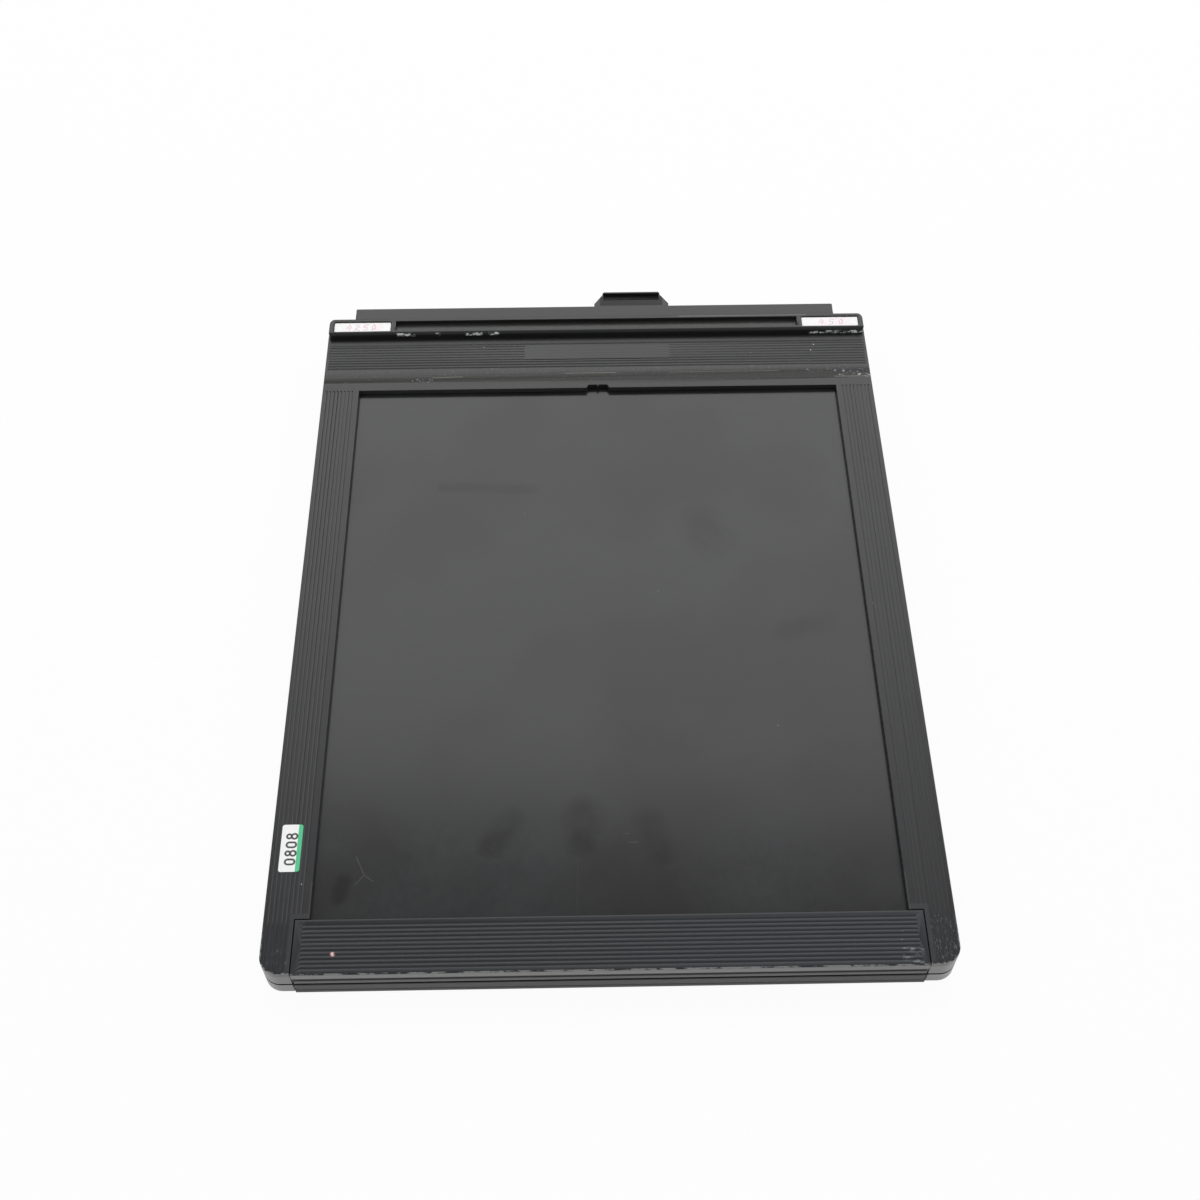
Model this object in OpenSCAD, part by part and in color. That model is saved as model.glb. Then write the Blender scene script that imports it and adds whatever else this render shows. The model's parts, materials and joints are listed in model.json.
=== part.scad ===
// Double-sided sheet-film holder (double dark slide) for 8 x 10 inch film.
//
// Two moulded halves are joined back to back round a thin septum.
// Each side carries a sheet of film on the septum, a dark slide that pulls out
// over it, and a ribbed loading flap at the end away from the slide's handle.
//
// Frame: +X across the holder, +Y along it towards the slide handles, +Z out of
// the front face. The origin is the bottom centre of the bounding box.
// Every side is drawn once, with y from the flap end and z from the mid-plane,
// and placed by front_side() or back_side().

/* [Holder body] */
// Width across the two side rails
body_w = 235; // [225:1:245]
// Length from the corner blocks' ends to the back of the head
body_l = 303.5; // [295:0.5:310]
// Height of each half's face above the mid-plane
face_z = 7.2; // [6.8:0.1:8]
// Corner radius at the flap end
corner_r = 6.6; // [4:0.1:8]
// Corner radius at the head end
head_corner_r = 3.2; // [1:0.1:3.6]

/* [Picture window] */
// Width of the window in each face
window_w = 203.8; // [198:0.2:206]
// Far edge of the window, from the flap end
window_far_y = 263.9; // [255:0.1:265]
// Width of the exposure notch at the middle of the window's far edge
notch_w = 9.8; // [6:0.2:14]
// Reach of the exposure notch into the face
notch_d = 1.8; // [1:0.1:2.5]

/* [Dark slide] */
// Width of the dark slide sheet
slide_w = 209.6; // [208:0.1:209.8]
// Thickness of the dark slide sheet
slide_t = 1; // [0.8:0.1:1]
// Height of the sheet's lower face above the mid-plane
slide_z = 3.75; // [3.7:0.05:3.85]
// Tip of the sheet, from the flap end
slide_tip_y = 12.8; // [12.6:0.1:14]
// Width of the slide's handle
handle_w = 210.8; // [205:0.2:212]
// Height of the handle's top above the mid-plane
handle_z = 9.2; // [8:0.1:9.6]

/* [Loading flap] */
// Width of the flap
flap_w = 213.4; // [212:0.1:213.4]
// Length of the flap along the holder
flap_l = 19.9; // [18:0.1:19.9]
// Height of the front flap's hinge line above the mid-plane
hinge_z = 0.75; // [0.7:0.05:0.8]

/* [Ribs] */
// Spacing of the grooves between ribs
rib_pitch = 1.56; // [1.4:0.02:1.7]
// Width of a groove at the face
groove_w = 0.9; // [0.6:0.05:1.2]
// Depth of the fine grooves on the side rails
rail_groove_d = 0.25; // [0.2:0.01:0.4]
// Depth of the grooves on the head's grip
grip_groove_d = 0.18; // [0.1:0.02:0.4]
// Depth of the grooves on the flap
flap_groove_d = 0.22; // [0.1:0.02:0.5]

/* [Head] */
// Height of the head bar's top above the mid-plane
head_z = 10.5; // [9.8:0.1:11]
// Length of the head bar
head_l = 9.5; // [9:0.1:11]
// Width of the sunken panel in the head bar
panel_w = 175.8; // [160:0.2:176]
// Depth of the sunken panel
panel_d = 2.1; // [1:0.1:3.5]
// Length of a write-on label
label_l = 24.6; // [20:0.1:24.8]
// Width of a write-on label
label_w = 5.5; // [4:0.1:5.6]

/* [Hidden] */

$fn = 48;
eps = 0.01;
run = 400;             // longer than the holder, for through cuts
gap = 0.3;             // clearance beside a moving face

flap_proud = 0.5;      // the flap end stands this far past the corner blocks
body_y = flap_proud;
head_far_y = body_y + body_l;
head_y = head_far_y - head_l;
handle_y = head_far_y + gap;
handle_l = 7.4;
handle_x = -0.7;       // the bar stands this far off the sheet's middle
tab_l = 7.7;
total_l = handle_y + handle_l + tab_l;

// Heights of the layers, from the mid-plane
septum_t = 1.2;
septum_w = 213.2;
septum_pocket_w = 214;
septum_far_y = 272;
slide_top_z = slide_z + slide_t;
slot_lo_z = slide_z - 0.1;
slot_hi_z = slide_top_z + 0.15;
slot_w = slide_w + 0.8;

// Film guides: an L-shaped strip down each side of the septum
film_w = 202.8;        // room between the guides for a 202.4 mm sheet
guide_lip_w = 198;
guide_w = slot_w;
guide_y0 = 13.6;
guide_hi_z = 1.9;      // the slide's ledge starts here
film_far_y = 268.7;
film_slit_z = 1.1;

// Flap recess and flap
recess_w = 214;
recess_far_y = flap_l + gap;
border_w = 2;
flap_wall_y = 12.2;
flap_lip_z = slot_hi_z + 0.15;
flap_groove_count = 11;
flap_groove_w = 208;
flap_groove_y0 = 2.1;
back_hinge_z = 1.3;    // the back flap's floor and hinge line

// Side rails: the ribbed panel lies a little below the smooth border round the
// flap, and rises slowly to the face at its far end
rail_groove_count = 8;
rail_groove_x0 = 104.9;
rail_groove_y0 = 0;
rail_level_y = 60;
rail_groove_y1 = 263.8;
rail_panel_w = rail_groove_count * rib_pitch;
rail_panel_d = 0.15;
rail_rim_w = 0.95;

// The front half has a skirt that goes down over the back half, and a groove
// is left all round where they meet
skirt_h = 1.75;
parting_h = 0.6;
parting_d = 0.6;

// Locating rib and ribbed grip on the head
rib_y0 = 268.3;
rib_slope_l = 2.7;
rib_y1 = 275.6;
rib_z = 8.4;
grip_y0 = 276.5;
grip_count = 10;
grip_groove_w = 232.4;
plate_w = 63;
plate_y0 = 281.2;
plate_y1 = 289.7;

// Head bar
bar_w = 234;
panel_y0 = head_y + 2.3;
panel_y1 = head_y + 7.6;
label_gap = 0.2;
label_x = 102.5;
label_y = head_y + 4.6;
label_z = head_z - 1.3;
label_t = 0.8;

// Light trap: felt strips above and below the slide, the upper one on a spring
trap_y0 = 277;
trap_l = 12;
trap_w = 208;
trap_hi_z = 6.1;
trap_lo_z = 2.6;
felt_w = 206;
felt_l = 11;
outer_felt_z = slide_top_z + 0.05;
outer_felt_t = 0.6;
inner_felt_t = slide_z - 0.05 - trap_lo_z;
spring_t = 0.25;

black_plastic = "#47484b";
slide_plastic = "#434446";
felt_black = "#17171a";
label_white = "#f4f3ef";
spring_bronze = "#8d7448";
septum_grey = "#2c2d30";

// ---------------------------------------------------------------- placing

module front_side()
    translate([0, -total_l / 2, head_z]) children();

module back_side()
    translate([0, -total_l / 2, head_z]) rotate([0, 180, 0]) children();

// ---------------------------------------------------------------- shapes

// A box centred on x = 0, with its near and lower edges at y and z.
module slab(w, y, l, z, h)
    translate([-w / 2, y, z]) cube([w, l, h]);

// A y-z outline drawn out along x, centred.
module along_x(w)
    rotate([90, 0, 90]) linear_extrude(w, center = true) children();

// A rectangle with near corners of radius near_r and far corners of far_r.
module round_rect(w, l, near_r, far_r) {
    translate([-w / 2, near_r]) square([w, l - near_r - far_r]);
    translate([-w / 2 + near_r, 0]) square([w - 2 * near_r, near_r + eps]);
    translate([-w / 2 + far_r, l - far_r - eps])
        square([w - 2 * far_r, far_r + eps]);
    for (side = [-1, 1]) {
        translate([side * (w / 2 - near_r), near_r]) circle(near_r);
        translate([side * (w / 2 - far_r), l - far_r]) circle(far_r);
    }
}

// Cross-section of count grooves of depth d, side by side, cut down from z = 0.
module groove_comb(count, d)
    for (i = [0 : count - 1])
        translate([i * rib_pitch, 0])
            polygon([
                [-groove_w / 2, 0], [-groove_w / 2, 1], [groove_w / 2, 1],
                [groove_w / 2, 0], [groove_w / 8, -d], [-groove_w / 8, -d]
            ]);

// Grooves that run along x, the first at y.
module cross_grooves(count, y, w, d)
    translate([0, y, face_z]) along_x(w) groove_comb(count, d);

// Sunken panel on the side rail at +x, with grooves that run along y.
module rail_grooves() {
    translate([rail_groove_x0, rail_groove_y1, face_z])
        rotate([90, 0, 0])
            linear_extrude(rail_groove_y1 - rail_groove_y0)
                groove_comb(rail_groove_count, rail_groove_d);
    translate([rail_groove_x0 + (rail_panel_w - rib_pitch) / 2, 0, face_z])
        along_x(rail_panel_w)
            polygon([
                [rail_groove_y0, -rail_panel_d], [rail_level_y, -rail_panel_d],
                [rail_groove_y1, 0], [rail_groove_y1, 1], [rail_groove_y0, 1]
            ]);
}

// ---------------------------------------------------------------- frame

module body_outline(inset)
    translate([0, body_y + inset])
        round_rect(
            body_w - 2 * inset, body_l - 2 * inset,
            corner_r - inset, head_corner_r - inset);

// The outline's rim, outside the septum's pocket and the flaps' recess.
module rim_outline(inset)
    difference() {
        body_outline(inset);
        translate([-recess_w / 2, -1]) square([recess_w, head_far_y - 4]);
    }

// Head bar: round-edged in section, with rounded corners in plan.
module head_bar()
    intersection() {
        translate([0, head_y, face_z - 1])
            linear_extrude(run)
                round_rect(bar_w, head_l, 1, head_corner_r);
        translate([0, head_y, 0])
            along_x(body_w)
                union() {
                    square([head_l, head_z - 1.4]);
                    translate([1.4, 0]) square([head_l - 2.2, head_z]);
                    translate([1.4, head_z - 1.4]) circle(1.4);
                    translate([head_l - 1, 0]) square([1, head_z - 0.8]);
                    translate([head_l - 0.8, head_z - 0.8]) circle(0.8);
                }
    }

module locating_rib()
    along_x(body_w - 0.6)
        polygon([
            [rib_y0, face_z], [rib_y0 + rib_slope_l, rib_z],
            [rib_y1 - 0.5, rib_z], [rib_y1, face_z],
            [rib_y1, face_z - 1], [rib_y0, face_z - 1]
        ]);

// The window, with the chamfered notch and its small middle nib.
module window_cut() {
    slab(window_w, -1, window_far_y + 1, guide_hi_z, run);
    translate([0, window_far_y, slot_hi_z])
        difference() {
            linear_extrude(run)
                polygon([
                    [-notch_w / 2, -eps], [-notch_w / 2 + 1, notch_d],
                    [notch_w / 2 - 1, notch_d], [notch_w / 2, -eps]
                ]);
            translate([-0.4, notch_d - 0.7, -eps]) cube([0.8, 1, run]);
        }
}

module flap_recess_cut()
    slab(recess_w, -1, recess_far_y + 1, -run / 2, run);

// Ribbed grip behind the locating rib, with a plain plate in the middle.
module grip_cut()
    difference() {
        cross_grooves(grip_count, grip_y0, grip_groove_w, grip_groove_d);
        slab(plate_w, plate_y0, plate_y1 - plate_y0, 0, run);
    }

module rail_groove_cut()
    difference() {
        intersection() {
            union() {
                rail_grooves();
                mirror([1, 0, 0]) rail_grooves();
            }
            linear_extrude(run) body_outline(rail_rim_w);
        }
        // plain border round the flap recess
        slab(recess_w + 2 * border_w, 0, recess_far_y + border_w, 0, run);
    }

// Layers inside the half: septum pocket, film bed, slide slot, light trap.
// The slide runs on the ledge that is left between the bed and its slot.
module inner_cuts() {
    slab(septum_pocket_w, -1, septum_far_y + 1.3, -eps, septum_t / 2 + eps);
    slab(guide_w, -1, film_far_y + 1, -eps, guide_hi_z + 2 * eps);
    slab(slot_w, -1, run, slot_lo_z, slot_hi_z - slot_lo_z);
    slab(trap_w, trap_y0, trap_l, trap_lo_z, trap_hi_z - trap_lo_z);
}

module head_cuts() {
    slab(panel_w, panel_y0, panel_y1 - panel_y0, head_z - panel_d, run);
    for (side = [-1, 1])
        translate([side * label_x, label_y, label_z])
            linear_extrude(run)
                label_outline(label_l + 2 * label_gap, label_w + 2 * label_gap);
}

// What both halves have above the mid-plane.
module half_cuts() {
    window_cut();
    flap_recess_cut();
    inner_cuts();
    head_cuts();
    grip_cut();
    rail_groove_cut();
}

module front_half()
    color(black_plastic)
        difference() {
            union() {
                linear_extrude(face_z) body_outline(0);
                translate([0, 0, -skirt_h]) {
                    linear_extrude(parting_h + eps) rim_outline(parting_d);
                    translate([0, 0, parting_h])
                        linear_extrude(skirt_h - parting_h + eps)
                            rim_outline(0);
                }
                head_bar();
                locating_rib();
            }
            half_cuts();
        }

// The back half makes room for the front half's skirt.
module back_half()
    color(black_plastic)
        difference() {
            union() {
                linear_extrude(face_z) body_outline(0);
                head_bar();
                locating_rib();
            }
            half_cuts();
            translate([0, 0, -eps])
                linear_extrude(skirt_h + eps) rim_outline(-1);
        }

// ---------------------------------------------------------------- inside

module septum()
    color(septum_grey)
        translate([0, -total_l / 2, head_z - septum_t / 2])
            slab(septum_w, 2, septum_far_y - 2, 0, septum_t);

// Cloth folded over the septum's end, which both flaps swing on.
module flap_hinge_cloth()
    color(felt_black)
        translate([0, -total_l / 2, head_z])
            along_x(flap_w - 1)
                polygon([
                    [1.1, -0.65], [7, -0.65], [7, -0.6], [2, -0.6],
                    [2, 0.6], [7, 0.6], [7, 0.65], [1.1, 0.65]
                ]);

// L-shaped strip that holds the film's edge down on the septum, at +x.
module film_guide()
    color(septum_grey)
        translate([0, film_far_y, 0])
            rotate([90, 0, 0])
                linear_extrude(film_far_y - guide_y0)
                    polygon([
                        [film_w / 2, septum_t / 2], [guide_w / 2, septum_t / 2],
                        [guide_w / 2, guide_hi_z], [guide_lip_w / 2, guide_hi_z],
                        [guide_lip_w / 2, film_slit_z], [film_w / 2, film_slit_z]
                    ]);

module outer_felt()
    color(felt_black)
        slab(felt_w, trap_y0 + 0.5, felt_l, outer_felt_z, outer_felt_t);

module inner_felt()
    color(felt_black)
        slab(felt_w, trap_y0 + 0.5, felt_l, trap_lo_z, inner_felt_t);

// Bowed strip: its edges press the felt, its crown bears on the head.
module trap_spring() {
    z0 = outer_felt_z + outer_felt_t;
    y0 = trap_y0 + 0.8;
    y1 = y0 + felt_l - 0.6;
    color(spring_bronze)
        along_x(felt_w - 4)
            polygon([
                [y0, z0], [y0 + 1, z0], [y0 + 3.5, trap_hi_z - spring_t],
                [y1 - 3.5, trap_hi_z - spring_t], [y1 - 1, z0], [y1, z0],
                [y1, z0 + spring_t], [y1 - 0.85, z0 + spring_t],
                [y1 - 3.35, trap_hi_z], [y0 + 3.35, trap_hi_z],
                [y0 + 0.85, z0 + spring_t], [y0, z0 + spring_t]
            ]);
}

// ---------------------------------------------------------------- dark slide

handle_slot_y = handle_y + 4;

module dark_slide()
    color(slide_plastic)
        translate([0, slide_tip_y, slide_z])
            linear_extrude(slide_t)
                round_rect(slide_w, handle_slot_y - slide_tip_y, 1.5, 0.5);

// Section of the handle bar, round along its upper far edge.
module handle_section()
    difference() {
        union() {
            square([handle_l, handle_z - gap - 1]);
            square([handle_l - 1, handle_z - gap]);
            translate([handle_l - 1, handle_z - gap - 1]) circle(1);
        }
    }

// Finger tab, off the middle, with sloping sides.
tab_x0 = -0.8;
tab_x1 = 32.1;
tab_slope_w = 4.3;
tab_straight_l = 1.1;
tab_lip_t = 1;
tab_lip_h = 0.7;

module tab_plan()
    polygon([
        [tab_x0, -1], [tab_x0, tab_straight_l],
        [tab_x0 + tab_slope_w, tab_l], [tab_x1 - tab_slope_w, tab_l],
        [tab_x1, tab_straight_l], [tab_x1, -1]
    ]);

module slide_handle()
    color(slide_plastic)
        difference() {
            union() {
                translate([handle_x, handle_y, gap])
                    intersection() {
                        along_x(handle_w) handle_section();
                        linear_extrude(handle_z)
                            round_rect(handle_w, handle_l, 0.5, 1.5);
                    }
                translate([0, handle_y + handle_l, gap])
                    linear_extrude(handle_z - gap) tab_plan();
                // raised lip along the tab's end
                translate([0, handle_y + handle_l, handle_z - 1])
                    intersection() {
                        linear_extrude(1 + tab_lip_h) tab_plan();
                        translate([-run / 2, tab_l - tab_lip_t, 0])
                            cube([run, run, run]);
                    }
            }
            // finger hollow in front of the lip
            translate([(tab_x0 + tab_x1) / 2, handle_y + handle_l, handle_z])
                along_x(tab_x1 - tab_x0 - 2 * tab_slope_w)
                    polygon([
                        [3.2, 0], [3.8, -0.5], [4.6, -0.75],
                        [tab_l - tab_lip_t, -0.8], [tab_l - tab_lip_t, 2],
                        [3.2, 2]
                    ]);
            // slot that holds the sheet
            slab(slide_w, handle_y - 1, handle_slot_y - handle_y + 1,
                slide_z, slide_t);
        }

// ---------------------------------------------------------------- flap

tape_t = 0.3;
front_tape_z0 = 0.4;
front_tape_z1 = 2.15;
front_seat_z1 = 3.5;
back_tape_z0 = 1.3;
back_tape_z1 = 4.8;
back_seat_z1 = 5.1;

module flap(floor_z, seat_z1, edge)
    color(black_plastic)
        difference() {
            along_x(flap_w)
                difference() {
                    polygon([
                        [0, floor_z], [flap_wall_y, floor_z],
                        [flap_wall_y, flap_lip_z], [flap_l, flap_lip_z],
                        [flap_l, face_z], [edge, face_z], [0, face_z - edge]
                    ]);
                    // seat for the hinge tape on the end face
                    translate([-eps, floor_z - eps])
                        square([tape_t + eps, seat_z1 - floor_z + eps]);
                }
            cross_grooves(
                flap_groove_count, flap_groove_y0, flap_groove_w, flap_groove_d);
        }

// Tape on the flap's end face, which bends about the hinge line.
module flap_tape(tape_z0, tape_z1)
    color(felt_black)
        slab(flap_w - 1, 0, tape_t, tape_z0, tape_z1 - tape_z0);

// ---------------------------------------------------------------- labels

module label_outline(l, w)
    translate([0, -w / 2]) round_rect(l, w, 0.5, 0.5);

module write_on_label(side)
    color(label_white)
        translate([side * label_x, label_y, label_z])
            linear_extrude(label_t) label_outline(label_l, label_w);

// Stock-number sticker on the left rail of the front.
sticker_w = 7.3;
sticker_l = 18.3;
sticker_x = -110.65;
sticker_y = 38;
sticker_t = 0.1;

module inventory_sticker()
    color(label_white)
        translate([sticker_x, sticker_y, face_z - rail_panel_d])
            linear_extrude(sticker_t) round_rect(sticker_w, sticker_l, 0.9, 0.9);

// ---------------------------------------------------------------- nodes

front_side() front_half();  // front_frame
back_side() back_half();  // back_frame
septum();
flap_hinge_cloth();
front_side() dark_slide();  // front_dark_slide
back_side() dark_slide();  // back_dark_slide
front_side() slide_handle();  // front_slide_handle
back_side() slide_handle();  // back_slide_handle
front_side() flap(hinge_z, front_seat_z1, 0.35);  // front_flap
back_side() flap(back_hinge_z, back_seat_z1, 0.15);  // back_flap
front_side() flap_tape(front_tape_z0, front_tape_z1);  // front_flap_tape
back_side() flap_tape(back_tape_z0, back_tape_z1);  // back_flap_tape
front_side() mirror([1, 0, 0]) film_guide();  // front_left_film_guide
front_side() film_guide();  // front_right_film_guide
back_side() mirror([1, 0, 0]) film_guide();  // back_left_film_guide
back_side() film_guide();  // back_right_film_guide
front_side() outer_felt();  // front_outer_felt
front_side() inner_felt();  // front_inner_felt
front_side() trap_spring();  // front_trap_spring
back_side() outer_felt();  // back_outer_felt
back_side() inner_felt();  // back_inner_felt
back_side() trap_spring();  // back_trap_spring
front_side() write_on_label(-1);  // front_left_label
front_side() write_on_label(1);  // front_right_label
back_side() write_on_label(-1);  // back_left_label
back_side() write_on_label(1);  // back_right_label
front_side() inventory_sticker();
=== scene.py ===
"""Looks of a double-sided sheet-film holder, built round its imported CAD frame."""

import json
from math import radians, sin, cos, atan

import bmesh
import bpy
from mathutils import Matrix, Vector


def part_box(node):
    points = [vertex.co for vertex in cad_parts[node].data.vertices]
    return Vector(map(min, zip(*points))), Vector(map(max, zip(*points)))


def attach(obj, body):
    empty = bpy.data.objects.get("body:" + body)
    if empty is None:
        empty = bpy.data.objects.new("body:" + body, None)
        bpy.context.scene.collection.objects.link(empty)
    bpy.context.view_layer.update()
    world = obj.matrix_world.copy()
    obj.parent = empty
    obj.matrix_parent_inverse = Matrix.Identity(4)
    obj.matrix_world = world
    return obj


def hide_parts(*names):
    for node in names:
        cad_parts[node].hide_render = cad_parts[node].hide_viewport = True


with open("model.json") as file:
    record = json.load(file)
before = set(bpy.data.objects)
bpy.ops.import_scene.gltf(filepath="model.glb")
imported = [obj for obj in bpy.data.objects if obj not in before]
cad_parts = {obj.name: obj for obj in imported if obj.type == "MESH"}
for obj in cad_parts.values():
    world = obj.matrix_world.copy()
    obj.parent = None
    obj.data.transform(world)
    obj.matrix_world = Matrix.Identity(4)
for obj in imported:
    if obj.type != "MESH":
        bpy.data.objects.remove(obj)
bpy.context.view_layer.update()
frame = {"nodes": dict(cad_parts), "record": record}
mm = 0.001

# ---------------------------------------------------------------- camera
# A 50 mm class lens held by hand above the flap end, looking down along the
# holder, a little left of its middle.
camera_place = Vector((-7.1, -376.2, 527.7)) * mm
camera_pan = radians(0.947)
camera_dip = radians(54.151)
camera_roll = radians(-0.049)

forward = Vector((
    sin(camera_pan) * cos(camera_dip),
    cos(camera_pan) * cos(camera_dip),
    -sin(camera_dip),
))
level_right = Vector((cos(camera_pan), -sin(camera_pan), 0))
level_up = level_right.cross(forward)
right = cos(camera_roll) * level_right + sin(camera_roll) * level_up
up = cos(camera_roll) * level_up - sin(camera_roll) * level_right

lens = bpy.data.cameras.new("camera")
lens.lens = 48.753
lens.sensor_width = 36
lens.clip_start = 0.01
camera = bpy.data.objects.new("camera", lens)
camera.matrix_world = Matrix.Translation(camera_place) @ Matrix(
    (right, up, -forward)
).transposed().to_4x4()
bpy.context.collection.objects.link(camera)
bpy.context.scene.camera = camera
bpy.context.scene.view_settings.view_transform = "Standard"


# ---------------------------------------------------------------- table and light
# The holder lies on its back head bar and the edge of the back flap, so the
# white table top is tipped by a fraction of a degree in the holder's frame.
def add(tree, kind, inputs=None, **settings):
    """A node of that kind, with its settings, and its inputs set or linked."""
    node = tree.nodes.new(kind)
    for key, value in settings.items():
        setattr(node, key, value)
    for key, value in (inputs or {}).items():
        if isinstance(value, bpy.types.NodeSocket):
            tree.links.new(value, node.inputs[key])
        else:
            node.inputs[key].default_value = value
    return node


def reckon(tree, operation, *numbers, clamp=False):
    """The outcome of one sum on one or two numbers."""
    sum_node = add(
        tree, "ShaderNodeMath", dict(enumerate(numbers)), operation=operation, use_clamp=clamp
    )
    return sum_node.outputs[0]


def new_material(name):
    """A material with its node tree and its main shader."""
    material = bpy.data.materials.new(name)
    material.use_nodes = True
    tree = material.node_tree
    return material, tree, tree.nodes["Principled BSDF"]


def table_material():
    """White paint that looks almost evenly lit but lights the holder as paint does."""
    material, tree, shader = new_material("white_table")
    shader.inputs["Base Color"].default_value = (0.80, 0.80, 0.80, 1)
    shader.inputs["Roughness"].default_value = 0.7
    rays = add(tree, "ShaderNodeLightPath").outputs
    mirrored = reckon(tree, "MAXIMUM", rays["Is Camera Ray"], rays["Is Glossy Ray"])
    seen = reckon(tree, "MAXIMUM", mirrored, rays["Is Transmission Ray"])
    plain = add(tree, "ShaderNodeEmission", {"Color": (1, 1, 1, 1), "Strength": 1.0})
    faint_shadow = add(tree, "ShaderNodeMixShader", {
        0: 0.95, 1: shader.outputs[0], 2: plain.outputs[0],
    })
    shown = add(tree, "ShaderNodeMixShader", {
        0: seen, 1: shader.outputs[0], 2: faint_shadow.outputs[0],
    })
    tree.links.new(shown.outputs[0], tree.nodes["Material Output"].inputs[0])
    return material


def make_table():
    """The table top, touching the back head bar and the back flap's edge."""
    bar_depth = 9 * mm
    clear = 0.02 * mm
    back_low, back_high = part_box("back_frame")
    flap_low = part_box("back_flap")[0]
    tip = atan((flap_low.z - back_low.z) / (back_high.y - bar_depth - flap_low.y))
    form = bmesh.new()
    bmesh.ops.create_grid(form, x_segments=1, y_segments=1, size=4)
    mesh = bpy.data.meshes.new("table_top")
    form.to_mesh(mesh)
    form.free()
    top = bpy.data.objects.new("table_top", mesh)
    bpy.context.collection.objects.link(top)
    rest = Vector((0, flap_low.y, flap_low.z - clear))
    top.matrix_world = Matrix.Translation(rest) @ Matrix.Rotation(-tip, 4, "X")
    mesh.materials.append(table_material())


def soft_light(name, place, width, height, power):
    """A rectangle of light that faces the holder."""
    panel = bpy.data.lights.new(name, "AREA")
    panel.shape = "RECTANGLE"
    panel.size = width
    panel.size_y = height
    panel.energy = power
    lamp = bpy.data.objects.new(name, panel)
    bpy.context.collection.objects.link(lamp)
    lamp.location = place
    lamp.rotation_euler = (-Vector(place)).to_track_quat("-Z", "Y").to_euler()


make_table()
soft_light("far_light", (0.1, 1.42, 1.42), 2.4, 1.42, 29)
soft_light("left_light", (-1.7, 0.3, 1.5), 1.2, 1.0, 2.5)
soft_light("right_light", (1.7, 0.3, 1.5), 1.2, 1.0, 2.5)

world = bpy.data.worlds.new("studio")
bpy.context.scene.world = world
world.use_nodes = True
sky = world.node_tree.nodes["Background"]
sky.inputs["Color"].default_value = (1, 1, 1, 1)
sky_rays = add(world.node_tree, "ShaderNodeLightPath")
sky_level = add(world.node_tree, "ShaderNodeMapRange", {
    "Value": sky_rays.outputs["Is Camera Ray"], "To Min": 0.5, "To Max": 1.0,
})
world.node_tree.links.new(sky_level.outputs[0], sky.inputs["Strength"])


# ---------------------------------------------------------------- moulded halves
# Black styrene mouldings cemented back to back round the septum, the front
# one's skirt lapping the back one. Rubbed pale at their ends and high edges;
# the ends' paleness and the paler grooves are partly painted light.
def own_coordinates(tree):
    """Every point's place in the holder's own metres, which stays with the piece."""
    return add(tree, "ShaderNodeTexCoord").outputs["Object"]


def split(tree, place):
    """A place's x, y and z."""
    return tuple(add(tree, "ShaderNodeSeparateXYZ", {0: place}).outputs)


def noise(tree, place, scale, detail=2.0, roughness=0.5):
    """An uneven tone from 0 to 1."""
    return add(tree, "ShaderNodeTexNoise", {
        "Vector": place, "Scale": scale, "Detail": detail, "Roughness": roughness,
    }).outputs[0]


def between(tree, operation, first, second):
    """The outcome of one sum on two vectors."""
    sum_node = add(tree, "ShaderNodeVectorMath", {0: first, 1: second}, operation=operation)
    is_number = operation in ("DOT_PRODUCT", "DISTANCE", "LENGTH")
    return sum_node.outputs["Value" if is_number else "Vector"]


def make_group(name, inputs, outputs):
    """An empty node group with named sockets, and its input and output nodes."""
    group = bpy.data.node_groups.new(name, "ShaderNodeTree")
    for socket, kind, value in inputs:
        made = group.interface.new_socket(socket, in_out="INPUT", socket_type=kind)
        if value is not None:
            made.default_value = value
    for socket, kind in outputs:
        group.interface.new_socket(socket, in_out="OUTPUT", socket_type=kind)
    ins = add(group, "NodeGroupInput").outputs
    outs = add(group, "NodeGroupOutput").inputs
    return group, ins, outs


def moulded_grain_group():
    """Fine spark-eroded grain of moulded plastic, with a slow change of tone."""
    group, ins, outs = make_group(
        "moulded_grain",
        [("Place", "NodeSocketVector", None), ("Grains per metre", "NodeSocketFloat", 2500)],
        [("Height", "NodeSocketFloat"), ("Tone", "NodeSocketFloat")],
    )
    fine = noise(group, ins["Place"], ins["Grains per metre"], 3, 0.6)
    slow = noise(group, ins["Place"], 38, 4, 0.6)
    middle = noise(group, ins["Place"], 420, 3, 0.7)
    both = reckon(group, "ADD", slow, middle)
    group.links.new(fine, outs["Height"])
    group.links.new(reckon(group, "MULTIPLY", both, 0.5), outs["Tone"])
    return group


def specks_group():
    """Scattered small specks of dust or nicks: a share of the cells has one."""
    group, ins, outs = make_group(
        "specks",
        [("Place", "NodeSocketVector", None), ("Cells per metre", "NodeSocketFloat", 90),
         ("Share", "NodeSocketFloat", 0.3), ("Radius", "NodeSocketFloat", 0.03)],
        [("Mask", "NodeSocketFloat")],
    )
    shake = add(group, "ShaderNodeTexNoise", {"Vector": ins["Place"], "Scale": 1300, "Detail": 1})
    shaken = add(group, "ShaderNodeVectorMath", {
        0: shake.outputs["Color"], "Scale": 0.0011,
    }, operation="SCALE")
    cells = add(group, "ShaderNodeTexVoronoi", {
        "Vector": between(group, "ADD", ins["Place"], shaken.outputs[0]),
        "Scale": ins["Cells per metre"],
    }).outputs
    draws = add(group, "ShaderNodeSeparateColor", {0: cells["Color"]}).outputs
    chosen = reckon(group, "LESS_THAN", draws[0], ins["Share"])
    radius = reckon(group, "MULTIPLY", draws[1], ins["Radius"])
    near = reckon(group, "LESS_THAN", cells["Distance"], radius)
    group.links.new(reckon(group, "MULTIPLY", chosen, near), outs["Mask"])
    return group


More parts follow.
